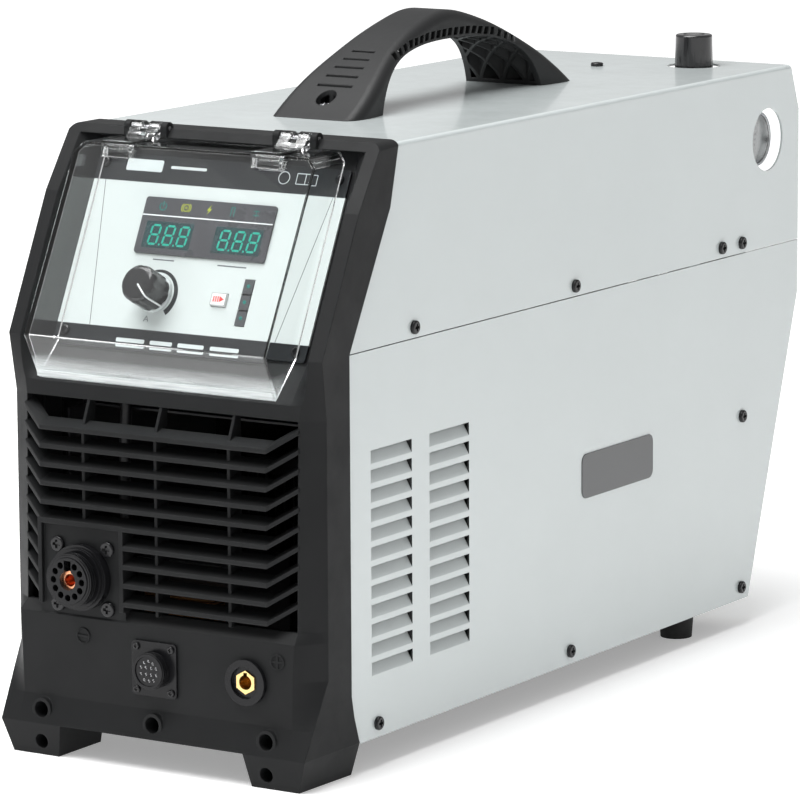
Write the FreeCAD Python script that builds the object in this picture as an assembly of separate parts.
import FreeCAD, Part
import math
import os

os.makedirs("parts", exist_ok=True)

V = FreeCAD.Vector
X_AXIS = V(1, 0, 0)
Y_AXIS = V(0, 1, 0)
Z_AXIS = V(0, 0, 1)

# Inverter plasma cutting power source, millimetres.
# Working frame: x to the right seen from the front, y backwards from the joint
# between the moulded front bezel and the sheet casing, z up from the floor.
# The finished parts move back by Y_ORIGIN, which puts the origin on the floor
# under the middle of the bounding box.
Y_FRONT = -66.0
Y_REAR = 616.0
Y_ORIGIN = (Y_FRONT + Y_REAR) / 2

# casing
CASE_HALF = 120.0
CASE_TOP = 409.7
CASE_BOTTOM = 20.5
SHEET = 1.5
BEND = 3.0
SEAM_Z = 278.6
SEAM_GAP = 0.6
REAR_LOW_Y = 542.0
REAR_KNEE_Z = 240.0
REAR_CHAMFER_Z = 376.0
REAR_TOP_Y = 603.0
REAR_PANEL_Y = 536.0
INNER_HALF = CASE_HALF - SHEET

# bezel
BEZEL_TOP = 411.5
BEZEL_HALF = 123.6
BEZEL_JOINT_Y = -2.0
WALL = 3.2
GRILLE_HALF = 107.0
GRILLE_BOTTOM = 103.0
GRILLE_TOP = 240.0
SLAT_COUNT = 10
SLAT_PITCH = 12.5
SLAT_FIRST_Z = 222.4
SLAT_CORNER_X = 89.3
SLAT_FRONT_Y = -51.0
SLAT_END_RISE = 11.5
RIB_X = (-57.5, 0.0, 57.5)
PANEL_Y = -49.0
SKIRT_Z = 22.0
CHIN_Z = 279.0

# control panel: local frame x, s up the panel, d out of the panel
PANEL_TILT = 26.2
PANEL_Y0 = 6.95
PANEL_Z0 = 330.45
TAN_T = math.tan(math.radians(PANEL_TILT))
LABEL_HALF = 99.5
LABEL_LOW = -62.0
LABEL_HIGH = 69.0
LABEL_T = 1.5

# clear cover
COVER_HALF = 94.5
COVER_T = 2.4
HINGE_Y = 35.5
HINGE_Z = 411.5
HINGE_X = 59.0
HINGE_PIN_R = 1.5
LEAF_HALF = 11.0
POCKET_HALF = 12.2

# connectors
TORCH_X = -57.5
TORCH_Z = 123.5
TONGUE_Y = -48.0
CNC_Z = 68.0
WORK_X = 72.0
WORK_Z = 68.0

# controls on the panel, local coordinates
KNOB_X = -27.3
KNOB_S = -25.4
KNOB_TOP = 22.6
KNOB_LOBES = 9
POINTER_REST = 135.0
BUTTON_X = 24.1
BUTTON_S = -25.7
BUTTON_HALF_W = 5.8
BUTTON_HALF_H = 4.4

# handle
HANDLE_Y = 287.0

# filter regulator
REG_X = 60.5
REG_Y = 563.0
GAUGE_Y = 567.5
GAUGE_Z = 358.0

# fan
FAN_Z = 122.0
FAN_SIZE = 150.0
FAN_R = 69.0

# screws through the casing, as y and z on each side
UPPER_SCREWS = ((79.0, 286.0), (287.7, 286.0), (498.1, 286.3), (528.3, 286.3))
LOWER_SCREWS = ((530.5, 157.8), (530.5, 29.6), (281.3, 29.8), (32.3, 30.0))
TOP_SCREW_Y = 525.3


def box(x0, x1, y0, y1, z0, z1):
    return Part.makeBox(x1 - x0, y1 - y0, z1 - z0, V(x0, y0, z0))


def cyl(r, h, base, axis=Z_AXIS):
    return Part.makeCylinder(r, h, V(*base), axis)


def tube(r_out, r_in, h, base, axis=Z_AXIS):
    return cyl(r_out, h, base, axis).cut(cyl(r_in, h, base, axis))


def poly_face(points):
    return Part.Face(Part.makePolygon(points + [points[0]]))


def prism_yz(points, x0, x1):
    face = poly_face([V(x0, p[0], p[1]) for p in points])
    return face.extrude(V(x1 - x0, 0, 0))


def prism_xz(points, y0, y1):
    face = poly_face([V(p[0], y0, p[1]) for p in points])
    return face.extrude(V(0, y1 - y0, 0))


def prism_xy(points, z0, z1):
    face = poly_face([V(p[0], p[1], z0) for p in points])
    return face.extrude(V(0, 0, z1 - z0))


def loft(sections):
    wires = [Part.makePolygon(s + [s[0]]) for s in sections]
    return Part.makeLoft(wires, True, True)


def fuse_all(shapes):
    if len(shapes) == 1:
        return shapes[0]
    return shapes[0].multiFuse(shapes[1:])


def cut_all(shape, tools):
    return shape.cut(Part.makeCompound(tools))


def mirror_x(shape):
    return shape.mirror(V(0, 0, 0), X_AXIS)


def on_panel(shape):
    placed = shape.copy()
    placed.rotate(V(0, 0, 0), X_AXIS, 90 - PANEL_TILT)
    placed.translate(V(0, PANEL_Y0, PANEL_Z0))
    return placed


def rounded_rect(x0, x1, y0, y1, z0, z1, r, axis=Z_AXIS):
    block = box(x0, x1, y0, y1, z0, z1)
    edges = []
    for edge in block.Edges:
        a = edge.Vertexes[0].Point
        b = edge.Vertexes[1].Point
        d = b.sub(a)
        if abs(d.dot(axis)) > d.Length * 0.99:
            edges.append(edge)
    return block.makeFillet(r, edges)


def save(name, shape):
    moved = shape.copy()
    moved.translate(V(0, -Y_ORIGIN, 0))
    if moved.ShapeType not in ("Solid", "Compound"):
        moved = Part.makeCompound(moved.Solids)
    moved.exportStep("parts/" + name + ".step")


def panel_line_y(z, d=0.0):
    # y of the plane parallel to the control panel at height z and offset d
    return PANEL_Y0 + (z - PANEL_Z0) * TAN_T - d / math.cos(math.radians(PANEL_TILT))


# ---------------------------------------------------------------- bezel

BEZEL_SECTIONS = (
    # z, front corner x y, side crease x y, rear edge x y
    (SKIRT_Z, 106.4, -56.3, 120.6, -56.3, 122.0, 7.2),
    (40.3, 106.4, PANEL_Y, 121.3, -46.6, 122.0, 1.0),
    (54.6, 107.0, PANEL_Y, 121.9, -39.0, 122.0, BEZEL_JOINT_Y),
    (70.8, 107.5, PANEL_Y, 122.5, -30.3, 122.0, BEZEL_JOINT_Y),
    (96.0, 108.6, PANEL_Y, 122.5, -30.3, 122.0, BEZEL_JOINT_Y),
    (GRILLE_BOTTOM, GRILLE_HALF, -42.5, 122.5, -30.3, 122.0, BEZEL_JOINT_Y),
    (GRILLE_TOP, GRILLE_HALF, -39.5, 122.5, -30.3, 122.0, BEZEL_JOINT_Y),
    (CHIN_Z, 113.4, -37.5, 123.4, -36.3, 122.0, BEZEL_JOINT_Y),
    (369.0, 113.4, 6.8, BEZEL_HALF, 7.8, 122.0, 48.0),
    (BEZEL_TOP, 108.0, 36.5, 122.8, 36.9, 122.0, 59.0),
)


def section_points(row, inset_f, inset_x, back):
    z, xf, yf, xc, yc, xb, yb = row
    right = [
        V(xf - inset_x, yf + inset_f, z),
        V(xc - inset_x, yc + inset_f * 1.1, z),
        V(xb - inset_x, yb + back, z),
    ]
    left = [V(-p.x, p.y, p.z) for p in reversed(right)]
    return right + left


def bezel_outer():
    sections = [section_points(row, 0, 0, 0) for row in BEZEL_SECTIONS]
    body = loft(sections)
    top = BEZEL_TOP
    r = 9.0
    silhouette = rounded_rect(-124.0, 124.0, -80.0, 80.0, -20.0, top, r, Y_AXIS)
    return body.common(silhouette)


def bezel_hollow():
    rows = []
    for row in BEZEL_SECTIONS:
        z = row[0]
        if z == SKIRT_Z:
            z = SKIRT_Z + WALL
        if z == BEZEL_TOP:
            z = BEZEL_TOP - WALL
        rows.append((z,) + row[1:])
    sections = [section_points(row, WALL, WALL, 12.0) for row in rows]
    return loft(sections)


def recess_polygon(depth):
    # side profile of the control recess, closed in front of the machine
    low = (panel_line_y(272.4, depth), 272.4)
    mid = (panel_line_y(369.0, depth), 369.0)
    top = (panel_line_y(405.5, depth), 405.5)
    return [low, mid, top, (-90.0, 405.5), (-90.0, 250.0), (-38.9, 250.0)]


def recess_cut():
    floor = recess_polygon(-1.6)
    rim = [(-37.5, CHIN_Z), (6.8, 369.0), (32.3, 405.5)] + [
        (-90.0, 405.5), (-90.0, 250.0), (-39.4, 250.0)]
    middle = prism_yz(floor, -101.0, 101.0)
    side = loft([
        [V(100.9, p[0], p[1]) for p in floor],
        [V(113.4, p[0], p[1]) for p in rim],
    ])
    return [middle, side, mirror_x(side)]


def recess_backing():
    low = (panel_line_y(270.5, -5.5), 270.5)
    top = (panel_line_y(403.0, -5.5), 403.0)
    points = [(-90, 245), (-36, 245), low, top, (64, 403), (64, 420), (-90, 420)]
    return prism_yz(points, -117.0, 117.0)


def slat(z_top):
    # front face 3 high, top surface rising towards the inside
    rise = 4.0
    depth = 11.0
    y0 = SLAT_FRONT_Y

    def profile(x, dy, dz):
        return [
            V(x, y0 + dy, z_top - 3.0 + dz),
            V(x, y0 + dy, z_top + dz),
            V(x, y0 + dy + depth, z_top + rise + dz),
            V(x, y0 + dy + depth, z_top + rise - 3.0 + dz),
        ]

    middle = loft([profile(-SLAT_CORNER_X, 0, 0), profile(SLAT_CORNER_X, 0, 0)])
    slope = (GRILLE_HALF + 1.0 - SLAT_CORNER_X) / (GRILLE_HALF - SLAT_CORNER_X)
    end = profile(GRILLE_HALF + 1.0, 9.0 * slope, SLAT_END_RISE * slope)
    wing = loft([profile(SLAT_CORNER_X, 0, 0), end])
    return [middle, wing, mirror_x(wing)]


def connector_tongue():
    # flat plate for the torch socket, framed by ribs
    x0 = TORCH_X - 30.5
    x1 = TORCH_X + 30.5
    top = 157.5
    plate = box(x0 - 4.0, x1 + 3.0, TONGUE_Y, TONGUE_Y + 4.0, 95.0, top)
    left = box(x0 - 4.0, x0 - 1.0, SLAT_FRONT_Y, -38.0, GRILLE_BOTTOM, top + 3.0)
    right = box(x1 + 0.2, x1 + 3.2, SLAT_FRONT_Y, -38.0, GRILLE_BOTTOM, top + 3.0)
    head = box(x0 - 4.0, x1 + 3.2, SLAT_FRONT_Y, -38.0, top, top + 3.0)
    return [plate, left, right, head]


def bezel_grille():
    x0 = TORCH_X - 34.5
    x1 = TORCH_X + 33.7
    keep = []
    for i in range(SLAT_COUNT):
        z = SLAT_FIRST_Z - i * SLAT_PITCH
        parts = slat(z)
        if z < 157.5:
            blocker = box(x0, x1, -60, -20, 90, 159.0)
            parts[0] = parts[0].cut(blocker)
        keep += parts
    for x in RIB_X:
        low = GRILLE_BOTTOM - 1.0
        if x < TORCH_X + 5:
            low = 158.0
        top_slat = SLAT_FIRST_Z
        rib = [(-46.5, low), (-46.5, top_slat), (-38.5, GRILLE_TOP + 1.0),
               (-33.0, GRILLE_TOP + 1.0), (-33.0, low)]
        keep.append(prism_yz(rib, x - 1.1, x + 1.1))
    return keep


def bezel_foot():
    top = [(72.6, -56.3), (120.6, -56.3), (121.8, 7.2), (84.0, 7.2), (73.2, -5.0)]
    low = [(77.0, -52.2), (113.5, -52.2), (115.5, 6.6), (87.0, 6.6), (77.4, -4.0)]
    lifted = [(72.6, -56.3), (120.6, -56.3), (121.8, 7.2), (84.0, 7.2), (73.2, -5.0)]
    return loft([
        [V(p[0], p[1], 0.0) for p in low],
        [V(p[0], p[1], SKIRT_Z) for p in top],
    ]).fuse(prism_xy(lifted, SKIRT_Z, SKIRT_Z + 1.5).common(box(60, 121.8, -55.6, 7.2, 20, 24)))


def mark_ring(x, z, plus):
    # moulded polarity mark: a shallow ring with a bar, or with a cross
    parts = [tube(5.4, 4.4, 0.8, (x, PANEL_Y - 0.8, z), Y_AXIS)]
    parts.append(box(x - 4.6, x + 4.6, PANEL_Y - 0.6, PANEL_Y, z - 0.7, z + 0.7))
    if plus:
        parts.append(box(x - 0.7, x + 0.7, PANEL_Y - 0.6, PANEL_Y, z - 4.6, z + 4.6))
    return parts


def bezel():
    body = bezel_outer().cut(bezel_hollow().cut(recess_backing()))
    body = cut_all(body, recess_cut())
    opening = box(-GRILLE_HALF, GRILLE_HALF, -60, -22, GRILLE_BOTTOM, GRILLE_TOP)
    body = body.cut(opening)
    foot = bezel_foot()
    adds = bezel_grille() + connector_tongue() + [foot, mirror_x(foot)]
    adds += mark_ring(TORCH_X, 83.8, False) + mark_ring(95.8, 83.8, True)
    for side in (-1, 1):
        a = side * 115.4
        b = side * 118.2
        adds.append(box(min(a, b), max(a, b), -8.0, 10.0, 60.0, 276.0))
        for off in (-1, 1):
            near = side * HINGE_X + off * POCKET_HALF
            far = side * HINGE_X + off * (POCKET_HALF + 4.8)
            x0 = min(near, far)
            adds.append(cyl(4.3, 4.8, (x0, HINGE_Y, HINGE_Z), X_AXIS))
            adds.append(box(x0, x0 + 4.8, HINGE_Y - 4.3, HINGE_Y + 4.3, 405.5, HINGE_Z))
    for x in (-89.4, 0.0, 89.4):
        adds.append(cyl(7.6, 23.0, (x, -54.0, 31.25), Y_AXIS))
    body = fuse_all([body] + adds)
    cuts = []
    for side in (-1, 1):
        x = side * HINGE_X
        cuts.append(box(x - POCKET_HALF, x + POCKET_HALF, 10, 47, 400, 420))
        cuts.append(cyl(HINGE_PIN_R, 34.0, (x - 17.0, HINGE_Y, HINGE_Z), X_AXIS))
        cuts.append(cyl(5.4, 26.0, (side * 89.4, -60.0, 31.2), Y_AXIS))
        cuts.append(cyl(5.0, 34.0, (side * 89.5, -60.0, 9.6), Y_AXIS))
    cuts.append(cyl(5.4, 26.0, (0, -60.0, 31.3), Y_AXIS))
    for x, s_pos in LABEL_SCREWS:
        cuts.append(on_panel(cyl(1.98, 12.0, (x, s_pos, -12.0))))
    cuts.append(cyl(19.0, 20.0, (TORCH_X, -56.0, TORCH_Z), Y_AXIS))
    cuts.append(cyl(11.0, 20.0, (0, -60.0, CNC_Z), Y_AXIS))
    cuts.append(cyl(14.3, 20.0, (WORK_X, -60.0, WORK_Z), Y_AXIS))
    for dx in (-20, 20):
        for dz in (-20, 20):
            cuts.append(cyl(1.9, 20.0, (TORCH_X + dx, -60.0, TORCH_Z + dz), Y_AXIS))
    for dx in (-13.6, 13.6):
        for dz in (-14.4, 14.4):
            cuts.append(cyl(1.2, 20.0, (dx, -60.0, CNC_Z + dz), Y_AXIS))
    cuts += panel_holes(-8.0, 0.0)
    return cut_all(body, cuts)


def panel_holes(d0, d1):
    # openings through the recess floor and the label plate
    h = d1 - d0
    tools = [box(-49.0, 49.0, 3.0, 38.5, d0, d1)]
    tools.append(cyl(5.0, h, (KNOB_X, KNOB_S, d0)))
    w = BUTTON_HALF_W + 0.4
    k = BUTTON_HALF_H + 0.4
    tools.append(box(BUTTON_X - w, BUTTON_X + w, BUTTON_S - k, BUTTON_S + k, d0, d1))
    tools.append(box(39.9, 47.9, -42.3, -10.1, d0, d1))
    return [on_panel(t) for t in tools]


# ---------------------------------------------------------------- control panel

LABEL_SCREWS = ((-91.9, 61.9), (91.9, 61.9), (-90.5, -55.8), (90.5, -55.8))


def label_plate():
    plate = rounded_rect(-LABEL_HALF, LABEL_HALF, LABEL_LOW, LABEL_HIGH, -1.5, 0.0, 2.0)
    holes = [cyl(2.1, 4.0, (x, s, -3.0)) for x, s in LABEL_SCREWS]
    return cut_all(on_panel(plate), [on_panel(h) for h in holes] + panel_holes(-3.0, 1.0))


def pan_screw(r_head, h_head, r_shank, length):
    # head above z 0, shank below, cross recess in the head
    head = cyl(r_head, h_head, (0, 0, 0))
    rim = [e for e in head.Edges if abs(e.Vertexes[0].Point.z - h_head) < 1e-6
           and len(e.Vertexes) == 1]
    head = head.makeFillet(h_head * 0.45, rim)
    screw = head.fuse(cyl(r_shank, length, (0, 0, -length)))
    w = r_head * 0.18
    arm = r_head * 0.55
    deep = h_head * 0.6
    cross = box(-arm, arm, -w, w, h_head - deep, h_head + 1)
    return cut_all(screw, [cross, box(-w, w, -arm, arm, h_head - deep, h_head + 1)])


def aim(shape, target, axis):
    # turn a part modelled along +z so that it points along axis, then move it
    placed = shape.copy()
    rotation = FreeCAD.Rotation(Z_AXIS, axis)
    placed.Placement = FreeCAD.Placement(V(*target), rotation).multiply(placed.Placement)
    return placed


def panel_screws():
    # alike screws of the label plate, the regulator bracket and the fan
    screw = pan_screw(3.6, 2.2, 1.98, 8.0)
    solids = []
    for x, s in LABEL_SCREWS:
        one = screw.copy()
        one.translate(V(x, s, 0.0))
        solids.append(on_panel(one))
    y = REAR_PANEL_Y + SHEET + 2.5
    for dx in (-14.0, 14.0):
        solids.append(aim(screw, (REG_X + dx, y, 392.0), Y_AXIS))
    y = REAR_PANEL_Y + SHEET + 5.1
    for dx in (-67.0, 67.0):
        for dz in (-67.0, 67.0):
            solids.append(aim(screw, (dx, y, FAN_Z + dz), Y_AXIS))
    return Part.makeCompound(solids)


def display_window():
    pane = rounded_rect(-51.6, 51.6, 1.2, 40.2, 0.0, 1.4, 2.0)
    plug = box(-48.7, 48.7, 3.3, 38.2, -1.6, 0.0)
    return on_panel(pane.fuse(plug))


def led_displays():
    solids = []
    for x0 in (-46.8, 8.5):
        solids.append(on_panel(box(x0, x0 + 38.0, 5.2, 23.2, -10.0, -1.7)))
    return Part.makeCompound(solids)


def indicator_leds():
    solids = []
    for i in range(5):
        x = -36.0 + i * 18.0
        solids.append(on_panel(cyl(2.5, 9.0, (x, 33.0, -10.8))))
    for s in (-15.3, -26.2, -37.1):
        solids.append(on_panel(rounded_rect(40.2, 47.6, s - 4.9, s + 4.9, -10.8, 0.5, 1.0)))
    return Part.makeCompound(solids)


def current_knob():
    # lobed grip with a rounded rim and a pointer groove
    top = KNOB_TOP
    profile = [V(0, 0, 2.6), V(12.7, 0, 2.6), V(13.0, 0, top - 4.2), V(12.4, 0, top - 1.6),
               V(10.9, 0, top - 0.3), V(9.4, 0, top), V(0, 0, top)]
    grip = poly_face(profile).revolve(V(0, 0, 0), Z_AXIS, 360)
    tools = []
    for i in range(KNOB_LOBES):
        a = math.radians((i + 0.5) * 360.0 / KNOB_LOBES)
        tools.append(cyl(4.6, 26.0, (16.6 * math.cos(a), 16.6 * math.sin(a), 2.0)))
    tools.append(box(-0.6, 0.6, 1.0, 15.0, top - 0.6, top + 1.0))
    tools.append(box(-0.6, 0.6, 12.2, 16.0, 2.0, top))
    tools.append(cyl(3.0, 15.0, (0, 0, 0.0)))
    knob = cut_all(grip, tools)
    knob.rotate(V(0, 0, 0), Z_AXIS, -POINTER_REST)
    knob.translate(V(KNOB_X, KNOB_S, 0))
    return on_panel(knob)


def knob_skirt():
    ring = Part.makeCone(13.4, 12.9, 1.9, V(KNOB_X, KNOB_S, 0.6), Z_AXIS)
    return on_panel(ring.cut(cyl(3.0, 6.0, (KNOB_X, KNOB_S, 0.0))))


def encoder_shaft():
    return on_panel(cyl(2.99, 24.4, (KNOB_X, KNOB_S, -10.0)))


def mode_button():
    w = BUTTON_HALF_W
    k = BUTTON_HALF_H
    cap = rounded_rect(BUTTON_X - w, BUTTON_X + w, BUTTON_S - k, BUTTON_S + k,
                       -5.6, 1.8, 0.9)
    return on_panel(cap)


def encoder_body():
    body = box(KNOB_X - 6.5, KNOB_X + 6.5, KNOB_S - 6.5, KNOB_S + 6.5, -10.8, -6.4)
    neck = cyl(4.5, 4.0, (KNOB_X, KNOB_S, -6.4))
    return body.fuse(neck)


def control_board():
    # circuit board with its soldered potentiometer, key switch and spacers
    board = box(-88.0, 88.0, -52.0, 46.0, -12.4, -10.8)
    switch = box(BUTTON_X - 5.0, BUTTON_X + 5.0, BUTTON_S - 5.0, BUTTON_S + 5.0, -10.8, -7.6)
    parts = [board, encoder_body(), switch]
    parts.append(box(-20.0, 10.0, -46.0, -40.0, -10.8, -6.0))
    parts.append(box(52.0, 76.0, 0.0, 30.0, -10.8, -8.6))
    tools = [cyl(3.03, 12.0, (KNOB_X, KNOB_S, -10.4))]
    for x in (-82.0, 82.0):
        for s in (-46.0, 40.0):
            parts.append(cyl(3.4, 5.1, (x, s, -10.8)))
            tools.append(cyl(1.5, 12.0, (x, s, -13.5)))
    return on_panel(cut_all(fuse_all(parts), tools))


# ---------------------------------------------------------------- clear cover

def cover_outer(inset):
    # side profile of the box-shaped cover, from the hinge end round the front
    x = COVER_HALF - inset
    t = inset
    front_top = (3.4 + t * 1.1, 403.6 - t)
    front_low = (-58.6 + t * 1.25, 282.8)
    lip_low = (-44.4 + t * 1.1, 254.8)
    back_low = (panel_line_y(277.0, 2.6), 277.0)
    back_top = (panel_line_y(403.6, 2.6), 403.6 - t)
    if inset > 0:
        dy = 30.0
        lip_low = (lip_low[0] - 0.6, 250.0)
        back_low = (back_low[0] + dy, 250.0)
        back_top = (back_top[0] + dy, 403.6 - t)
    return prism_yz([front_top, front_low, lip_low, back_low, back_top], -x, x)


def clear_cover():
    shell = cover_outer(0.0).cut(cover_outer(COVER_T))
    corner = 6.2
    top = 403.6
    for side in (-1, 1):
        x = side * COVER_HALF
        tri = [(x + side, top + 1), (x + side, top - corner - 1), (x - side * corner, top + 1)]
        shell = shell.cut(prism_xz(tri, -90, 80))
    # plates that close the two chamfered top corners
    web = []
    for side in (-1, 1):
        x = side * COVER_HALF
        outer = [
            (x, top - corner), (x - side * corner, top),
            (x - side * (corner + 3.4), top), (x, top - corner - 3.4)]
        full = prism_xz(outer, -90, 80)
        web.append(full.common(cover_outer(0.0)))
    bead = prism_yz([(-46.9, 254.2), (-44.0, 252.8), (-42.4, 254.6), (-44.2, 257.6),
                     (-47.6, 258.2)], -COVER_HALF + 1.5, COVER_HALF - 1.5)
    return fuse_all([shell, bead] + web)


def hinge_leaf(side):
    x0 = side * HINGE_X - LEAF_HALF
    x1 = side * HINGE_X + LEAF_HALF
    top = 403.6
    plate = prism_yz([(-0.6, top), (29.0, top), (29.0, top + 2.6), (0.2, top + 2.6)], x0, x1)
    tab_low = (3.4 - 8.0 * TAN_T - 0.8, top - 8.0)
    tab = prism_yz([(3.1, top), (-0.6, top + 2.6), (-2.6, top + 2.6),
                    (tab_low[0] - 2.4, tab_low[1]), (tab_low[0] - 0.25, tab_low[1])], x0, x1)
    barrel = cyl(4.4, 2 * LEAF_HALF, (x0, HINGE_Y, HINGE_Z), X_AXIS)
    arm = prism_yz([(22.0, top), (29.0, top), (HINGE_Y + 1.5, HINGE_Z - 3.6),
                    (HINGE_Y - 3.9, HINGE_Z + 1.4)], x0, x1)
    leaf = fuse_all([plate, tab, barrel, arm])
    slot = box(x0 + 8.2, x1 - 8.2, HINGE_Y - 7.5, HINGE_Y + 8, top + 2.6, HINGE_Z + 6)
    bore = cyl(HINGE_PIN_R + 0.06, 40.0, (x0 - 5, HINGE_Y, HINGE_Z), X_AXIS)
    return cut_all(leaf, [slot, bore])


def hinge_leaves():
    return Part.makeCompound([hinge_leaf(-1), hinge_leaf(1)])


def hinge_pins():
    pins = []
    for side in (-1, 1):
        x = side * HINGE_X - 17.4
        pin = cyl(HINGE_PIN_R, 34.4, (x, HINGE_Y, HINGE_Z), X_AXIS)
        pins.append(pin.fuse(cyl(2.6, 1.0, (x - 0.6, HINGE_Y, HINGE_Z), X_AXIS)))
    return Part.makeCompound(pins)


# ---------------------------------------------------------------- sockets

def ring_y(r_out, r_in, y0, y1, x, z):
    return tube(r_out, r_in, y1 - y0, (x, y0, z), Y_AXIS)


def torch_socket_shell():
    rings = [ring_y(22.0, 15.4, -54.6, TONGUE_Y, TORCH_X, TORCH_Z)]
    rings.append(ring_y(20.0, 15.4, -57.2, -54.6, TORCH_X, TORCH_Z))
    rings.append(ring_y(17.0, 15.4, -65.2, -57.2, TORCH_X, TORCH_Z))
    for i in range(3):
        y = -64.6 + i * 2.4
        rings.append(ring_y(18.0, 15.4, y, y + 1.3, TORCH_X, TORCH_Z))
    rings.append(ring_y(18.8, 15.4, TONGUE_Y, -36.0, TORCH_X, TORCH_Z))
    return fuse_all(rings)


def torch_socket_insert():
    x = TORCH_X
    z = TORCH_Z
    body = cyl(15.38, 32.0, (x, Y_FRONT, z), Y_AXIS)
    cuts = [cyl(6.2, 40.0, (x, Y_FRONT - 1, z), Y_AXIS)]
    for i in range(12):
        a = math.radians(90 + i * 30)
        px = x + 11.3 * math.cos(a)
        pz = z + 11.3 * math.sin(a)
        if i == 0:
            cuts.append(box(x - 2.8, x + 2.8, Y_FRONT - 1, Y_FRONT + 11, z + 5.0, z + 13.4))
        else:
            cuts.append(cyl(2.25, 14.0, (px, Y_FRONT - 1, pz), Y_AXIS))
    return cut_all(body, cuts)


def torch_socket_contact():
    x = TORCH_X
    z = TORCH_Z
    body = cyl(6.18, 40.0, (x, Y_FRONT + 3.0, z), Y_AXIS)
    bore = cyl(4.2, 16.0, (x, Y_FRONT + 2.0, z), Y_AXIS)
    port = cyl(2.2, 50.0, (x, Y_FRONT + 2.0, z), Y_AXIS)
    tail = cyl(4.5, 12.0, (x, Y_FRONT + 43.0, z), Y_AXIS)
    return cut_all(body.fuse(tail), [bore, port])


def torch_socket_screws():
    screw = pan_screw(5.2, 2.4, 1.88, 8.0)
    solids = []
    for dx in (-20, 20):
        for dz in (-20, 20):
            solids.append(aim(screw, (TORCH_X + dx, TONGUE_Y, TORCH_Z + dz), V(0, -1, 0)))
    return Part.makeCompound(solids)


def cnc_socket_shell():
    z = CNC_Z
    flange = rounded_rect(-17.6, 17.6, PANEL_Y - 1.8, PANEL_Y, z - 18.3, z + 18.3, 2.6, Y_AXIS)
    parts = [flange, cyl(11.6, 7.6, (0, -58.4, z), Y_AXIS)]
    for i in range(3):
        parts.append(cyl(12.4, 1.1, (0, -57.6 + i * 2.1, z), Y_AXIS))
    parts.append(cyl(10.8, 16.0, (0, PANEL_Y, z), Y_AXIS))
    body = fuse_all(parts)
    cuts = [cyl(9.9, 40.0, (0, -60.0, z), Y_AXIS)]
    for dx in (-13.6, 13.6):
        for dz in (-14.4, 14.4):
            cuts.append(cyl(1.3, 6.0, (dx, PANEL_Y - 3.0, z + dz), Y_AXIS))
    return cut_all(body, cuts)


CNC_PINS = [(0.0, 6.6), (-3.4, 5.4), (3.4, 5.4)] + [
    (-5.9, 2.2), (-2.0, 2.2), (2.0, 2.2), (5.9, 2.2)] + [
    (-5.9, -2.2), (-2.0, -2.2), (2.0, -2.2), (5.9, -2.2)] + [
    (-3.4, -6.0), (0.4, -6.4), (3.9, -5.8)]


def cnc_socket_insert():
    body = cyl(9.88, 21.0, (0, -57.6, CNC_Z), Y_AXIS)
    holes = [cyl(1.05, 5.0, (x, -58.0, CNC_Z + z), Y_AXIS) for x, z in CNC_PINS]
    return cut_all(body, holes)


def cnc_socket_contacts():
    solids = []
    for x, z in CNC_PINS:
        solids.append(ring_y(1.03, 0.6, -57.0, -53.1, x, CNC_Z + z))
    return Part.makeCompound(solids)


def cnc_socket_screws():
    screw = pan_screw(2.5, 1.5, 1.18, 6.0)
    solids = []
    for dx in (-13.6, 13.6):
        for dz in (-14.4, 14.4):
            solids.append(aim(screw, (dx, PANEL_Y - 1.8, CNC_Z + dz), V(0, -1, 0)))
    return Part.makeCompound(solids)


def work_socket_housing():
    x = WORK_X
    z = WORK_Z
    ring = ring_y(15.2, 10.6, -52.4, PANEL_Y, x, z)
    inner = ring_y(14.0, 10.6, -50.4, -30.0, x, z)
    seat = ring_y(10.6, 7.0, -50.0, -30.0, x, z)
    nut = ring_y(17.5, 14.1, -45.6, -39.0, x, z)
    return fuse_all([ring, inner, seat, nut])


def work_socket_bush():
    x = WORK_X
    z = WORK_Z
    points = []
    for i in range(6):
        a = math.radians(30 + i * 60)
        points.append((x + 8.0 * math.cos(a), z + 8.0 * math.sin(a)))
    collar = prism_xz(points, -51.2, -50.0)
    body = collar.fuse(cyl(6.96, 30.0, (x, -50.0, z), Y_AXIS))
    tail = cyl(5.0, 12.0, (x, -20.0, z), Y_AXIS)
    bore = cyl(4.75, 26.0, (x, -51.4, z), Y_AXIS)
    key = box(x - 1.4, x + 1.4, -51.4, -40.0, z + 3.0, z + 6.4)
    return cut_all(body.fuse(tail), [bore, key])


# ---------------------------------------------------------------- casing

def bezel_joint(z):
    # y of the rear edge of the bezel at height z
    rows = BEZEL_SECTIONS
    for a, b in zip(rows, rows[1:]):
        if a[0] <= z <= b[0]:
            f = (z - a[0]) / (b[0] - a[0])
            return a[6] + f * (b[6] - a[6])
    return rows[-1][6]


def side_screw_holes(points, side):
    x = side * (CASE_HALF - 4)
    tools = []
    for y, z in points:
        base = (x, y, z) if side > 0 else (x - 8, y, z)
        tools.append(cyl(2.1, 8.0, base, X_AXIS))
    return tools


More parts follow.
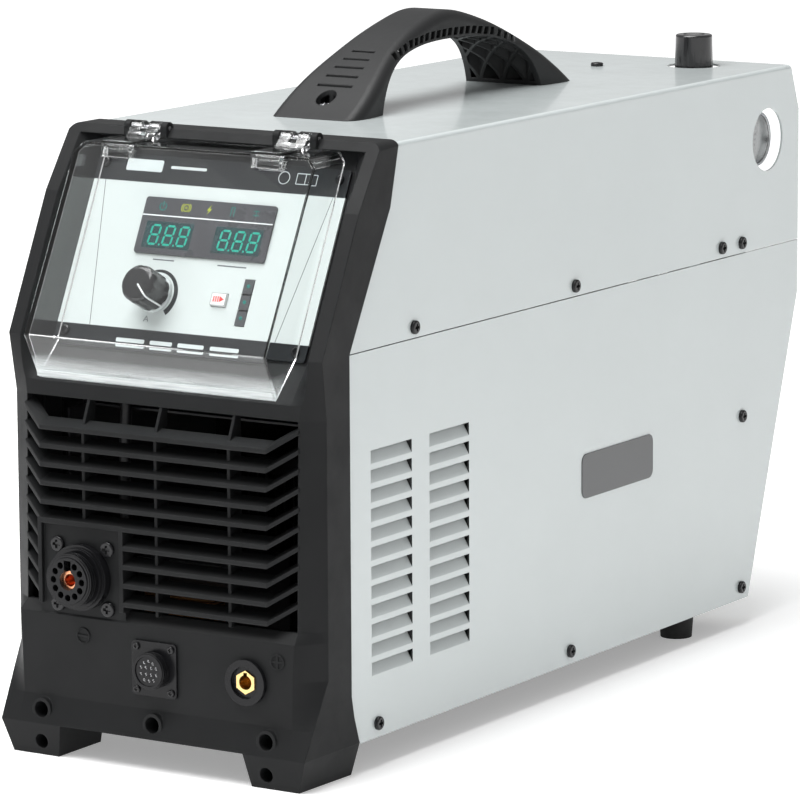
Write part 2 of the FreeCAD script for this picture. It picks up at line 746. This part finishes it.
def upper_cover():
    low = SEAM_Z + SEAM_GAP / 2
    gap = 0.3
    outer = rounded_rect(-CASE_HALF, CASE_HALF, 0, 700, 100, CASE_TOP, BEND, Y_AXIS)
    inner = rounded_rect(-INNER_HALF, INNER_HALF, -1, 701, 90, CASE_TOP - SHEET,
                         BEND - SHEET, Y_AXIS)
    sheet = outer.cut(inner)
    profile = [
        (bezel_joint(low) + gap, low),
        (bezel_joint(369.0) + gap, 369.0),
        (bezel_joint(BEZEL_TOP) + gap, BEZEL_TOP),
        (bezel_joint(BEZEL_TOP) + gap, CASE_TOP + 2),
        (REAR_TOP_Y, CASE_TOP + 2),
        (REAR_TOP_Y, CASE_TOP),
        (Y_REAR, REAR_CHAMFER_Z),
        (Y_REAR, low),
    ]
    sheet = sheet.common(prism_yz(profile, -130, 130))
    tools = [cyl(19.5, 20.0, (REG_X, REG_Y, CASE_TOP - 10))]
    tools.append(cyl(23.0, 20.0, (CASE_HALF - 10, GAUGE_Y, GAUGE_Z), X_AXIS))
    tools.append(cyl(2.1, 20.0, (0, TOP_SCREW_Y, CASE_TOP - 10)))
    for side in (-1, 1):
        tools += side_screw_holes(UPPER_SCREWS, side)
    for y in HANDLE_SCREWS_Y:
        tools.append(cyl(3.2, 20.0, (0, y, CASE_TOP - 10)))
    return cut_all(sheet, tools)


def louvre_positions():
    cells = []
    for y0 in (25.5, 97.4):
        for i in range(12):
            cells.append((y0, 203.6 - i * 12.8))
    return cells


def side_panel():
    top = SEAM_Z - SEAM_GAP / 2
    gap = 0.3
    profile = [
        (bezel_joint(CASE_BOTTOM + 1.5) + gap, CASE_BOTTOM),
        (BEZEL_JOINT_Y + gap, 54.6),
        (BEZEL_JOINT_Y + gap, top),
        (Y_REAR, top),
        (Y_REAR, REAR_KNEE_Z),
        (REAR_LOW_Y, CASE_BOTTOM),
    ]
    sheet = prism_yz(profile, INNER_HALF, CASE_HALF)
    windows = []
    blades = []
    for y0, z0 in louvre_positions():
        windows.append(box(INNER_HALF - 1, CASE_HALF + 1, y0, y0 + 50.0, z0, z0 + 8.8))
        points = [
            (CASE_HALF, z0), (CASE_HALF - 4.6, z0 + 8.0),
            (CASE_HALF - 5.8, z0 + 8.0), (INNER_HALF, z0 + 0.2), (INNER_HALF, z0)]
        blades.append(prism_xz(points, y0 + 0.2, y0 + 49.8))
    sheet = cut_all(sheet, windows + side_screw_holes(LOWER_SCREWS, 1))
    return fuse_all([sheet] + blades)


def base_tray():
    half = INNER_HALF - 0.3
    floor = box(-half, half, 8.0, REAR_PANEL_Y - 0.3, CASE_BOTTOM, CASE_BOTTOM + SHEET)
    parts = [floor]
    for side in (-1, 1):
        a = side * half
        b = side * (half - SHEET)
        parts.append(box(min(a, b), max(a, b), 8.0, 520.0, CASE_BOTTOM, CASE_BOTTOM + 18.0))
    front = box(-112.0, 112.0, 8.0, 8.0 + SHEET, CASE_BOTTOM, CASE_BOTTOM + 22.0)
    parts.append(front)
    tray = fuse_all(parts)
    tools = []
    for x in (-95.0, 95.0):
        tools.append(cyl(3.0, 8.0, (x, 478.0, CASE_BOTTOM - 3)))
    for side in (-1, 1):
        tools += side_screw_holes(LOWER_SCREWS, side)
    for i in range(10):
        y = 60 + i * 14
        tools.append(box(-60, -10, y, y + 5, CASE_BOTTOM - 1, CASE_BOTTOM + 3))
        tools.append(box(10, 60, y, y + 5, CASE_BOTTOM - 1, CASE_BOTTOM + 3))
    return cut_all(tray, tools)


def rear_panel():
    y0 = REAR_PANEL_Y
    half = INNER_HALF - 0.3
    top = CASE_TOP - SHEET - 0.3
    sheet = box(-half, half, y0, y0 + SHEET, CASE_BOTTOM, top)
    parts = [sheet]
    for side in (-1, 1):
        a = side * half
        b = side * (half - SHEET)
        parts.append(box(min(a, b), max(a, b), y0 - 15.0, y0, CASE_BOTTOM + 2, top))
    parts.append(box(-110.0, 110.0, y0 - 15.0, y0, top - SHEET, top))
    panel = fuse_all(parts)
    tools = [cyl(FAN_R - 1.0, 10.0, (0, y0 - 4, FAN_Z), Y_AXIS)]
    for dx in (-1, 1):
        for dz in (-1, 1):
            tools.append(cyl(2.2, 10.0, (dx * 67.0, y0 - 4, FAN_Z + dz * 67.0), Y_AXIS))
    tools.append(box(-87.2, -32.8, y0 - 4, y0 + 6, 317.4, 362.6))
    tools.append(cyl(12.1, 10.0, (-60.0, y0 - 4, 262.0), Y_AXIS))
    tools.append(cyl(6.8, 10.0, (REG_X, y0 - 4, 340.0), Y_AXIS))
    tools.append(cyl(3.05, 10.0, (90.0, y0 - 4, 50.0), Y_AXIS))
    tools.append(box(REG_X - 22.2, REG_X + 22.2, y0 - 1, y0 - 0.9, 300, 301))
    for x in (-14.0, 14.0):
        tools.append(cyl(2.1, 10.0, (REG_X + x, y0 - 4, 392.0), Y_AXIS))
    for i in range(5):
        z = 232.0 + i * 8.0
        tools.append(box(20.0, 100.0, y0 - 1, y0 + 3, z, z + 3.0))
    tools.append(cyl(2.1, 20.0, (0, TOP_SCREW_Y, top - 10)))
    for side in (-1, 1):
        tools += side_screw_holes(((528.3, 286.3),), side)
        tools += side_screw_holes(LOWER_SCREWS[:2], side)
    return cut_all(panel, tools)


def cover_screws():
    screw = pan_screw(4.6, 2.6, 2.0, 8.0)
    solids = []
    for side in (-1, 1):
        for y, z in UPPER_SCREWS + LOWER_SCREWS:
            solids.append(aim(screw, (side * CASE_HALF, y, z), V(side, 0, 0)))
    solids.append(aim(screw, (0, TOP_SCREW_Y, CASE_TOP), Z_AXIS))
    return Part.makeCompound(solids)


def side_badges():
    solids = []
    for side in (-1, 1):
        x0 = CASE_HALF if side > 0 else -CASE_HALF - 0.6
        plate = rounded_rect(x0, x0 + 0.6, 297.0, 397.0, 134.5, 166.0, 6.0, X_AXIS)
        solids.append(plate)
    return Part.makeCompound(solids)


# ---------------------------------------------------------------- handle

HANDLE_SCREWS_Y = (HANDLE_Y - 127.0, HANDLE_Y + 127.0)


def spline_face_yz(upper, lower):
    # closed profile in the y z plane from two point lists that share their ends
    up = Part.BSplineCurve()
    up.interpolate([V(0, p[0], p[1]) for p in upper])
    low = Part.BSplineCurve()
    low.interpolate([V(0, p[0], p[1]) for p in lower])
    a = V(0, upper[0][0], upper[0][1])
    b = V(0, lower[0][0], lower[0][1])
    c = V(0, upper[-1][0], upper[-1][1])
    d = V(0, lower[-1][0], lower[-1][1])
    edges = [up.toShape(), Part.makeLine(c, d), low.toShape(), Part.makeLine(b, a)]
    wire = Part.Wire(Part.__sortEdges__(edges))
    return Part.Face(wire)


HANDLE_OUTER = ((148, 0), (127, 12.5), (108, 24.5), (86, 36.5), (60, 48), (30, 57.3), (0, 62))
HANDLE_INNER = ((105, 0), (101, 10), (93, 21), (79, 31), (55, 38.5), (28, 41.8), (0, 42.5))


def arch_points(half, shift):
    # left half mirrored, then the right half
    points = [(HANDLE_Y - y, CASE_TOP + z + shift) for y, z in half[:-1]]
    points += [(HANDLE_Y + y, CASE_TOP + z + shift) for y, z in reversed(half)]
    return points


def handle_profile(outer_drop, inner_drop):
    upper = arch_points(HANDLE_OUTER, -outer_drop)
    lower = arch_points(HANDLE_INNER, inner_drop)
    return spline_face_yz(upper, lower)


def rounded_long_edges(body):
    # round the two long edges between the outer arch and the sides
    picked = []
    for edge in body.Edges:
        length = edge.Length
        mid = edge.CenterOfMass
        if length > 250 and mid.z > CASE_TOP + 30:
            picked.append((mid.z, edge))
    picked.sort(key=lambda item: -item[0])
    return body.makeFillet(7.0, [edge for _, edge in picked[:2]])


def handle():
    y = HANDLE_Y
    z = CASE_TOP
    arch = handle_profile(0, 0).extrude(V(80, 0, 0))
    arch.translate(V(-40, 0, 0))
    plan = []
    for sx, order in ((1, 1), (-1, -1)):
        side = [(33.0, -149), (33.5, -118), (26.0, -80), (21.0, -40), (20.0, 0),
                (21.0, 40), (26.0, 80), (33.5, 118), (33.0, 149)]
        if order < 0:
            side = side[::-1]
        plan += [V(sx * px, y + py, z - 1) for px, py in side]
    n = len(plan) // 2
    right = Part.BSplineCurve()
    right.interpolate(plan[:n])
    left = Part.BSplineCurve()
    left.interpolate(plan[n:])
    edges = [right.toShape(), Part.makeLine(plan[n - 1], plan[n]), left.toShape(),
             Part.makeLine(plan[-1], plan[0])]
    wire = Part.Wire(Part.__sortEdges__(edges))
    column = Part.Face(wire).extrude(V(0, 0, 90))
    body = rounded_long_edges(arch.common(column))
    return finish_handle(body)


def finish_handle(body):
    y = HANDLE_Y
    z = CASE_TOP
    # hollow lattice underside
    pocket = handle_profile(3.6, -9.0)
    hollow = pocket.extrude(V(80, 0, 0))
    hollow.translate(V(-40, 0, 0))
    plan_in = []
    for px, py in ((29, -150), (29, -118), (22, -80), (17, -40), (16, 0), (17, 40),
                   (22, 80), (29, 118), (29, 150)):
        plan_in.append((px, y + py))
    loop = plan_in + [(-px, py) for px, py in reversed(plan_in)]
    hollow = hollow.common(prism_xy(loop, z - 5, z + 90))
    hollow = hollow.cut(box(-50, 50, y - 160, y - 100, z - 10, z + 3.0))
    hollow = hollow.cut(box(-50, 50, y + 100, y + 160, z - 10, z + 3.0))
    ribs = []
    for i in range(-9, 10):
        for turn in (-38, 38):
            rib = box(-60, 60, -0.9, 0.9, z - 5, z + 70)
            rib.rotate(V(0, 0, 0), Z_AXIS, turn)
            rib.translate(V(0, y + i * 15.0, 0))
            ribs.append(rib)
    hollow = cut_all(hollow, ribs)
    body = body.cut(hollow)
    tools = []
    for side in (-1, 1):
        sy = y + side * 127.0
        tools.append(cyl(7.0, 60.0, (0, sy, z + 5.0)))
        tools.append(cyl(3.2, 20.0, (0, sy, z - 2.0)))
        for i in range(5):
            gy = y + side * (116.0 - i * 9.0)
            w = 14.0 - i * 1.2
            gz = arch_height(HANDLE_OUTER, abs(gy - y))
            tools.append(box(-w, w, gy - 1.1, gy + 1.1, z + gz - 2.6, z + gz + 20))
    # open windows along the inner edge, between the ends of the ribs
    for i in range(-10, 11):
        dy = i * 7.6
        rise = arch_height(HANDLE_INNER, abs(dy) + 1.0) - arch_height(HANDLE_INNER, abs(dy))
        slope = math.degrees(math.atan(rise)) * (1 if dy > 0 else -1 if dy < 0 else 0)
        slot = prism_yz([(-3.2, 1.3), (2.0, 1.3), (3.4, 6.6), (-1.8, 6.6)], -50, 50)
        slot.rotate(V(0, 0, 0), X_AXIS, slope)
        slot.translate(V(0, y + dy, z + arch_height(HANDLE_INNER, abs(dy)) + 0.6))
        tools.append(slot)
    return cut_all(body, tools)


def arch_height(half, y):
    # height of an arch profile at distance y from its middle
    rows = sorted(half)
    for a, b in zip(rows, rows[1:]):
        if a[0] <= y <= b[0]:
            f = (y - a[0]) / (b[0] - a[0])
            return a[1] + f * (b[1] - a[1])
    return 0.0


def handle_screws():
    solids = []
    screw = pan_screw(5.4, 3.4, 2.9, 16.0)
    for y in HANDLE_SCREWS_Y:
        solids.append(aim(screw, (0, y, CASE_TOP + 5.0), Z_AXIS))
    return Part.makeCompound(solids)


# ---------------------------------------------------------------- rear and feet

def rear_feet():
    solids = []
    for x in (-95.0, 95.0):
        foot = Part.makeCone(11.5, 13.0, CASE_BOTTOM, V(x, 478.0, 0), Z_AXIS)
        stud = cyl(2.96, 6.0, (x, 478.0, CASE_BOTTOM))
        head = cyl(5.5, 2.4, (x, 478.0, CASE_BOTTOM + SHEET + 0.02))
        well = cyl(5.0, 6.0, (x, 478.0, -1.0))
        solids.append(fuse_all([foot, stud, head]).cut(well))
    return Part.makeCompound(solids)


def regulator_body():
    x = REG_X
    y = REG_Y
    block = rounded_rect(x - 20, x + 20, y - 19, y + 19, 318, 378, 5.0)
    collar = cyl(17.0, 10.0, (x, y, 377))
    bonnet = cyl(14.6, 11.0, (x, y, 386))
    ring = cyl(21.0, 8.0, (x, y, 311))
    body = fuse_all([block, collar, bonnet, ring])
    boss = cyl(9.0, 12.0, (x + 12.0, GAUGE_Y, GAUGE_Z), X_AXIS)
    nipple = cyl(6.6, 26.0, (x, y - 40.0, 340.0), Y_AXIS)
    body = fuse_all([body, boss, nipple])
    cuts = [cyl(4.0, 26.0, (x, y - 41.0, 340.0), Y_AXIS)]
    cuts.append(cyl(6.5, 10.0, (x, y + 11.0, 340.0), Y_AXIS))
    cuts.append(cyl(5.2, 14.0, (x + 14.0, GAUGE_Y, GAUGE_Z), X_AXIS))
    cuts.append(cyl(5.02, 16.0, (x, y, 384)))
    cuts.append(cyl(17.0, 14.0, (x, y, 310)))
    return cut_all(body, cuts)


def regulator_bowl():
    x = REG_X
    y = REG_Y
    outer = cyl(19.0, 62.0, (x, y, 246)).fuse(cyl(16.95, 12.0, (x, y, 308)))
    bottom = Part.makeCone(9.0, 19.0, 12.0, V(x, y, 234), Z_AXIS)
    inner = cyl(15.6, 78.0, (x, y, 248))
    bowl = outer.fuse(bottom).cut(inner)
    return bowl.cut(cyl(4.02, 30.0, (x, y, 230)))


def regulator_spindle():
    rod = cyl(4.96, 34.0, (REG_X, REG_Y, 386.5))
    flat = box(REG_X - 6, REG_X + 6, REG_Y + 4.2, REG_Y + 6, 398.0, 421.0)
    return rod.cut(flat)


def regulator_knob():
    # lifts to unlock, then turns the spindle
    x = REG_X
    y = REG_Y
    cap = Part.makeCone(14.3, 13.5, 35.5, V(x, y, 397.5), Z_AXIS)
    rim = []
    for edge in cap.Edges:
        if len(edge.Vertexes) == 1 and abs(edge.Vertexes[0].Point.z - 433.0) < 0.01:
            rim.append(edge)
    cap = cap.makeFillet(1.6, rim)
    tools = []
    for i in range(18):
        a = math.radians(i * 20)
        px = x + 14.6 * math.cos(a)
        py = y + 14.6 * math.sin(a)
        tools.append(cyl(0.9, 40.0, (px, py, 396)))
    tools.append(tube(8.0, 6.4, 1.2, (x, y, 432.2)))
    tools.append(cyl(5.02, 28.0, (x, y, 397.0)))
    return cut_all(cap, tools)


def regulator_bracket():
    x = REG_X
    y0 = REAR_PANEL_Y + SHEET
    plate = box(x - 22, x + 22, y0, y0 + 2.5, 377.0, 399.5)
    arm = box(x - 22, x + 22, y0, REG_Y + 22, 378.2, 380.7)
    bracket = plate.fuse(arm)
    tools = [cyl(17.1, 20.0, (x, REG_Y, 370))]
    for dx in (-14.0, 14.0):
        tools.append(cyl(2.1, 10.0, (x + dx, y0 - 2, 392.0), Y_AXIS))
    return cut_all(bracket, tools)


def gauge_case():
    y = GAUGE_Y
    z = GAUGE_Z
    can = cyl(20.0, 20.0, (92.0, y, z), X_AXIS)
    cup = cyl(18.2, 18.0, (96.0, y, z), X_AXIS)
    stem = cyl(5.15, 14.0, (78.5, y, z), X_AXIS)
    pivot = cyl(0.9, 11.0, (95.0, y, z), X_AXIS)
    return can.cut(cup).fuse(stem).fuse(pivot)


def gauge_dial():
    return ring_x(18.0, 1.2, 96.2, 97.0)


def ring_x(r_out, r_in, x0, x1):
    return tube(r_out, r_in, x1 - x0, (x0, GAUGE_Y, GAUGE_Z), X_AXIS)


def gauge_needle():
    y = GAUGE_Y
    z = GAUGE_Z
    hub = ring_x(2.2, 0.94, 98.6, 100.2)
    blade = prism_yz([(y - 0.7, z - 1.2), (y + 0.7, z - 1.2), (y + 0.25, z + 14.5),
                      (y - 0.25, z + 14.5)], 98.9, 99.7)
    needle = hub.fuse(blade.cut(cyl(1.5, 4.0, (98.0, y, z), X_AXIS)))
    placed = needle.copy()
    placed.rotate(V(0, y, z), X_AXIS, 135)
    return placed


def gauge_lens():
    return cyl(18.1, 1.4, (109.6, GAUGE_Y, GAUGE_Z), X_AXIS)


def air_inlet_plug():
    x = REG_X
    y = REG_Y + 19.0
    z = 340.0
    thread = cyl(6.45, 8.0, (x, y - 8.0, z), Y_AXIS)
    points = []
    for i in range(6):
        a = math.radians(i * 60)
        points.append((x + 9.2 * math.cos(a), z + 9.2 * math.sin(a)))
    nut = prism_xz(points, y + 0.05, y + 7.0)
    stem = cyl(4.6, 22.0, (x, y + 7.0, z), Y_AXIS)
    collar = cyl(5.8, 3.0, (x, y + 14.0, z), Y_AXIS)
    tip = cyl(5.2, 6.0, (x, y + 24.0, z), Y_AXIS)
    plug = fuse_all([thread, nut, stem, collar, tip])
    return plug.cut(cyl(2.6, 50.0, (x, y - 9.0, z), Y_AXIS))


def drain_valve():
    x = REG_X
    y = REG_Y
    stem = cyl(3.96, 22.0, (x, y, 231))
    wing = cyl(7.0, 9.0, (x, y, 222))
    flutes = []
    for i in range(8):
        a = math.radians(i * 45)
        flutes.append(cyl(1.2, 12.0, (x + 7.4 * math.cos(a), y + 7.4 * math.sin(a), 221)))
    return cut_all(stem.fuse(wing), flutes + [cyl(1.5, 40.0, (x, y, 220))])


BREAKER_X = -60.0
BREAKER_Z = 340.0
BREAKER_Y = REAR_PANEL_Y + SHEET


def breaker_body():
    x = BREAKER_X
    z = BREAKER_Z
    nose = box(x - 27, x + 27, BREAKER_Y - 6, BREAKER_Y + 6.0, z - 22.4, z + 22.4)
    body = box(x - 27, x + 27, BREAKER_Y - 50, BREAKER_Y - 6, z - 40, z + 40)
    flange = box(x - 29.5, x + 29.5, BREAKER_Y + 0.05, BREAKER_Y + 2.0, z - 25, z + 25)
    unit = fuse_all([nose, body, flange])
    slot = box(x - 21, x + 21, BREAKER_Y - 14, BREAKER_Y + 7, z - 14, z + 14)
    unit = unit.cut(slot)
    pin = cyl(1.5, 44.0, (x - 22, BREAKER_Y - 4.0, z), X_AXIS)
    return unit.fuse(pin)


def breaker_toggle():
    # joined lever of the three poles, resting in the lower, off position
    x = BREAKER_X
    z = BREAKER_Z
    barrel = cyl(6.0, 40.0, (x - 20, BREAKER_Y - 4.0, z), X_AXIS)
    lever = prism_yz([(-3.2, 0), (3.2, 0), (2.6, 19.5), (-2.6, 19.5)], x - 20, x + 20)
    lever.translate(V(0, BREAKER_Y - 4.0, z))
    lever.rotate(V(0, BREAKER_Y - 4.0, z), X_AXIS, -122)
    toggle = barrel.fuse(lever)
    return toggle.cut(cyl(1.56, 60.0, (x - 30, BREAKER_Y - 4.0, z), X_AXIS))


def mains_gland():
    x = -60.0
    z = 262.0
    y = REAR_PANEL_Y + SHEET
    stem = cyl(12.0, 20.0, (x, y - 11.0, z), Y_AXIS)
    points = []
    for i in range(6):
        a = math.radians(i * 60)
        points.append((x + 18.0 * math.cos(a), z + 18.0 * math.sin(a)))
    nut_out = prism_xz(points, y + 0.05, y + 8.0)
    nut_in = prism_xz(points, y - SHEET - 7.0, y - SHEET - 0.05)
    dome = Part.makeCone(15.0, 11.0, 18.0, V(x, y + 8.0, z), Y_AXIS)
    gland = fuse_all([stem, nut_out, nut_in, dome])
    return gland.cut(cyl(8.0, 60.0, (x, y - 20.0, z), Y_AXIS))


def earth_stud():
    x = 90.0
    z = 50.0
    y = REAR_PANEL_Y + SHEET
    bolt = cyl(3.0, 30.0, (x, y - 12.0, z), Y_AXIS)
    points = []
    for i in range(6):
        a = math.radians(i * 60)
        points.append((x + 5.8 * math.cos(a), z + 5.8 * math.sin(a)))
    nut = prism_xz(points, y + 0.05, y + 5.0)
    washer = cyl(7.0, 1.4, (x, y + 5.0, z), Y_AXIS)
    wing_nut = prism_xz(points, y + 7.6, y + 12.4)
    head = prism_xz(points, y - SHEET - 5.0, y - SHEET - 0.05)
    return fuse_all([bolt, nut, washer, wing_nut, head])


# ---------------------------------------------------------------- inside

def fan_frame():
    half = FAN_SIZE / 2
    y1 = REAR_PANEL_Y - 0.1
    frame = rounded_rect(-half, half, y1 - 38.0, y1, FAN_Z - half, FAN_Z + half, 6.0, Y_AXIS)
    frame = frame.cut(cyl(FAN_R, 50.0, (0, y1 - 44.0, FAN_Z), Y_AXIS))
    hub = cyl(24.0, 6.0, (0, y1 - 38.0, FAN_Z), Y_AXIS)
    spokes = [hub]
    for turn in (45, 135, 225, 315):
        arm = box(-2.5, 2.5, y1 - 38.0, y1 - 34.0, FAN_Z + 20.0, FAN_Z + FAN_R + 1)
        arm.rotate(V(0, y1, FAN_Z), Y_AXIS, turn)
        spokes.append(arm)
    frame = fuse_all([frame] + spokes)
    axle = cyl(3.0, 26.0, (0, y1 - 34.0, FAN_Z), Y_AXIS)
    holes = []
    for dx in (-67.0, 67.0):
        for dz in (-67.0, 67.0):
            holes.append(cyl(2.2, 50.0, (dx, y1 - 42.0, FAN_Z + dz), Y_AXIS))
    return cut_all(frame.fuse(axle), holes)


def fan_rotor():
    y1 = REAR_PANEL_Y - 0.1
    hub = cyl(27.0, 24.0, (0, y1 - 31.0, FAN_Z), Y_AXIS)
    blades = []
    for i in range(7):
        blade = box(-1.2, 1.2, -11.0, 11.0, 24.0, FAN_R - 3.0)
        blade.rotate(V(0, 0, 0), Z_AXIS, 38)
        blade.rotate(V(0, 0, 0), Y_AXIS, i * 360.0 / 7)
        blade.translate(V(0, y1 - 19.0, FAN_Z))
        blades.append(blade)
    rotor = fuse_all([hub] + blades)
    return rotor.cut(cyl(3.05, 30.0, (0, y1 - 36.0, FAN_Z), Y_AXIS))


def fan_guard():
    y = REAR_PANEL_Y + SHEET + 4.0
    parts = []
    for r in (14.0, 26.0, 38.0, 50.0, 62.0, 71.0):
        ring = Part.makeTorus(r, 1.1, V(0, y, FAN_Z), Y_AXIS)
        parts.append(ring)
    for turn in (45, 135, 225, 315):
        bar = cyl(1.3, 60.0, (0, y, FAN_Z + 12.0))
        bar.rotate(V(0, y, FAN_Z), Y_AXIS, turn)
        parts.append(bar)
    for dx in (-67.0, 67.0):
        for dz in (-67.0, 67.0):
            eye = tube(5.0, 2.2, 5.0, (dx, REAR_PANEL_Y + SHEET + 0.05, FAN_Z + dz), Y_AXIS)
            parts.append(eye)
            link = cyl(1.3, 22.4, (0, y, FAN_Z + 69.0))
            parts.append(link.rotated(V(0, y, FAN_Z), Y_AXIS, 45 if dx * dz > 0 else -45)
                         if dz > 0 else
                         link.rotated(V(0, y, FAN_Z), Y_AXIS, 135 if dx > 0 else -135))
    return fuse_all(parts)


def mid_shelf():
    half = INNER_HALF - 6.4
    sheet = box(-half, half, 30.0, 490.0, 222.0, 223.5)
    parts = [sheet]
    for side in (-1, 1):
        a = side * half
        b = side * (half - SHEET)
        parts.append(box(min(a, b), max(a, b), 30.0, 490.0, 222.0, 236.0))
        parts.append(box(min(a, b), max(a, b), 30.0, 50.0, 39.0, 222.0))
        parts.append(box(min(a, b), max(a, b), 470.0, 490.0, 39.0, 222.0))
        # drip guard that hangs inside the louvres
        c = side * (half - 6.0)
        d = side * (half - 6.0 - SHEET)
        parts.append(box(min(c, d), max(c, d), 4.0, 176.0, 45.0, 223.5))
        parts.append(box(min(a, c), max(a, c), 30.0, 176.0, 222.0, 223.5))
    shelf = fuse_all(parts)
    tools = [cyl(14.0, 10.0, (x, 140.0, 218.0)) for x in (-70.0, 70.0)]
    return cut_all(shelf, tools)


def main_board():
    board = box(-100.0, 100.0, 90.0, 380.0, 236.0, 238.0)
    posts = []
    for x in (-92.0, 92.0):
        for y in (98.0, 235.0, 372.0):
            posts.append(cyl(3.5, 12.5, (x, y, 223.5)))
    parts = [board] + posts
    parts.append(box(-95.0, -60.0, 300.0, 360.0, 238.0, 262.0))
    parts.append(box(50.0, 92.0, 110.0, 150.0, 238.0, 256.0))
    parts.append(box(-90.0, -40.0, 110.0, 128.0, 238.0, 252.0))
    return fuse_all(parts)


def capacitors():
    solids = []
    for x in (-42.0, 0.0, 42.0):
        for y in (190.0, 240.0):
            solids.append(cyl(17.5, 60.0, (x, y, 238.1)))
    return Part.makeCompound(solids)


def heatsinks():
    solids = []
    for side in (-1, 1):
        cx = side * 52.0
        base = box(cx - 44, cx + 44, 200.0, 440.0, 150.0, 162.0)
        parts = [base]
        for i in range(12):
            x = cx - 42.6 + i * 7.6
            parts.append(box(x, x + 1.6, 200.0, 440.0, 42.0, 150.0))
        solids.append(fuse_all(parts))
    return Part.makeCompound(solids)


def transformer_core():
    base = 22.05
    frame = box(-92.0, -8.0, 62.0, 122.0, base, base + 92.0)
    windows = [box(-80.0, -62.0, 50.0, 140.0, base + 14, base + 78)]
    windows.append(box(-38.0, -20.0, 50.0, 140.0, base + 14, base + 78))
    return cut_all(frame, windows)


def transformer_coil():
    base = 22.05
    outer = rounded_rect(-79.0, -21.0, 44.0, 140.0, base + 16, base + 76, 10.0)
    inner = box(-62.5, -37.5, 61.5, 122.5, base, base + 100)
    return outer.cut(inner)


def solenoid_valve():
    body = box(44.0, 77.0, 470.0, 500.0, 330.0, 352.0)
    coil = rounded_rect(47.0, 74.0, 470.0, 500.0, 352.0, 384.0, 3.0)
    inlet = cyl(7.0, 23.0, (REG_X, 500.0, 340.0), Y_AXIS)
    outlet = cyl(5.0, 10.0, (REG_X, 460.0, 340.0), Y_AXIS)
    valve = fuse_all([body, coil, inlet, outlet])
    pocket = cyl(6.7, 14.0, (REG_X, 516.0, 340.0), Y_AXIS)
    return cut_all(valve, [pocket])


def air_hose():
    # straight runs with a ball at each bend
    points = [
        V(REG_X, 459.8, 340.0), V(REG_X, 430.0, 336.0), V(50.0, 395.0, 322.0),
        V(30.0, 280.0, 318.0), V(-30.0, 120.0, 318.0), V(-66.0, 50.0, 300.0),
        V(-72.0, 26.0, 260.0), V(-72.0, 20.0, 180.0), V(-66.0, 14.0, 140.0),
        V(TORCH_X, 2.0, TORCH_Z), V(TORCH_X, -7.5, TORCH_Z)]
    parts = []
    for a, b in zip(points, points[1:]):
        run = b.sub(a)
        parts.append(Part.makeCylinder(4.0, run.Length, a, run))
    for point in points[1:-1]:
        parts.append(Part.makeSphere(4.0, point))
    return fuse_all(parts)


# ---------------------------------------------------------------- output

def main():
    save("bezel", bezel())
    save("label_plate", label_plate())
    save("panel_screws", panel_screws())
    save("display_window", display_window())
    save("led_displays", led_displays())
    save("indicator_leds", indicator_leds())
    save("current_knob", current_knob())
    save("knob_skirt", knob_skirt())
    save("encoder_shaft", encoder_shaft())
    save("mode_button", mode_button())
    save("control_board", control_board())
    save("clear_cover", clear_cover())
    save("hinge_leaves", hinge_leaves())
    save("hinge_pins", hinge_pins())
    save("torch_socket_shell", torch_socket_shell())
    save("torch_socket_insert", torch_socket_insert())
    save("torch_socket_contact", torch_socket_contact())
    save("torch_socket_screws", torch_socket_screws())
    save("cnc_socket_shell", cnc_socket_shell())
    save("cnc_socket_insert", cnc_socket_insert())
    save("cnc_socket_contacts", cnc_socket_contacts())
    save("cnc_socket_screws", cnc_socket_screws())
    save("work_socket_housing", work_socket_housing())
    save("work_socket_bush", work_socket_bush())
    save("upper_cover", upper_cover())
    right = side_panel()
    save("side_panel_right", right)
    save("side_panel_left", mirror_x(right))
    save("base_tray", base_tray())
    save("rear_panel", rear_panel())
    save("cover_screws", cover_screws())
    save("side_badges", side_badges())
    save("handle", handle())
    save("handle_screws", handle_screws())
    save("rear_feet", rear_feet())
    save("regulator_body", regulator_body())
    save("regulator_bowl", regulator_bowl())
    save("regulator_spindle", regulator_spindle())
    save("regulator_knob", regulator_knob())
    save("regulator_bracket", regulator_bracket())
    save("gauge_case", gauge_case())
    save("gauge_dial", gauge_dial())
    save("gauge_needle", gauge_needle())
    save("gauge_lens", gauge_lens())
    save("air_inlet_plug", air_inlet_plug())
    save("drain_valve", drain_valve())
    save("breaker_body", breaker_body())
    save("breaker_toggle", breaker_toggle())
    save("mains_gland", mains_gland())
    save("earth_stud", earth_stud())
    save("fan_frame", fan_frame())
    save("fan_rotor", fan_rotor())
    save("fan_guard", fan_guard())
    save("mid_shelf", mid_shelf())
    save("main_board", main_board())
    save("heatsinks", heatsinks())
    save("transformer_core", transformer_core())
    save("transformer_coil", transformer_coil())
    save("capacitors", capacitors())
    save("solenoid_valve", solenoid_valve())
    save("air_hose", air_hose())


main()
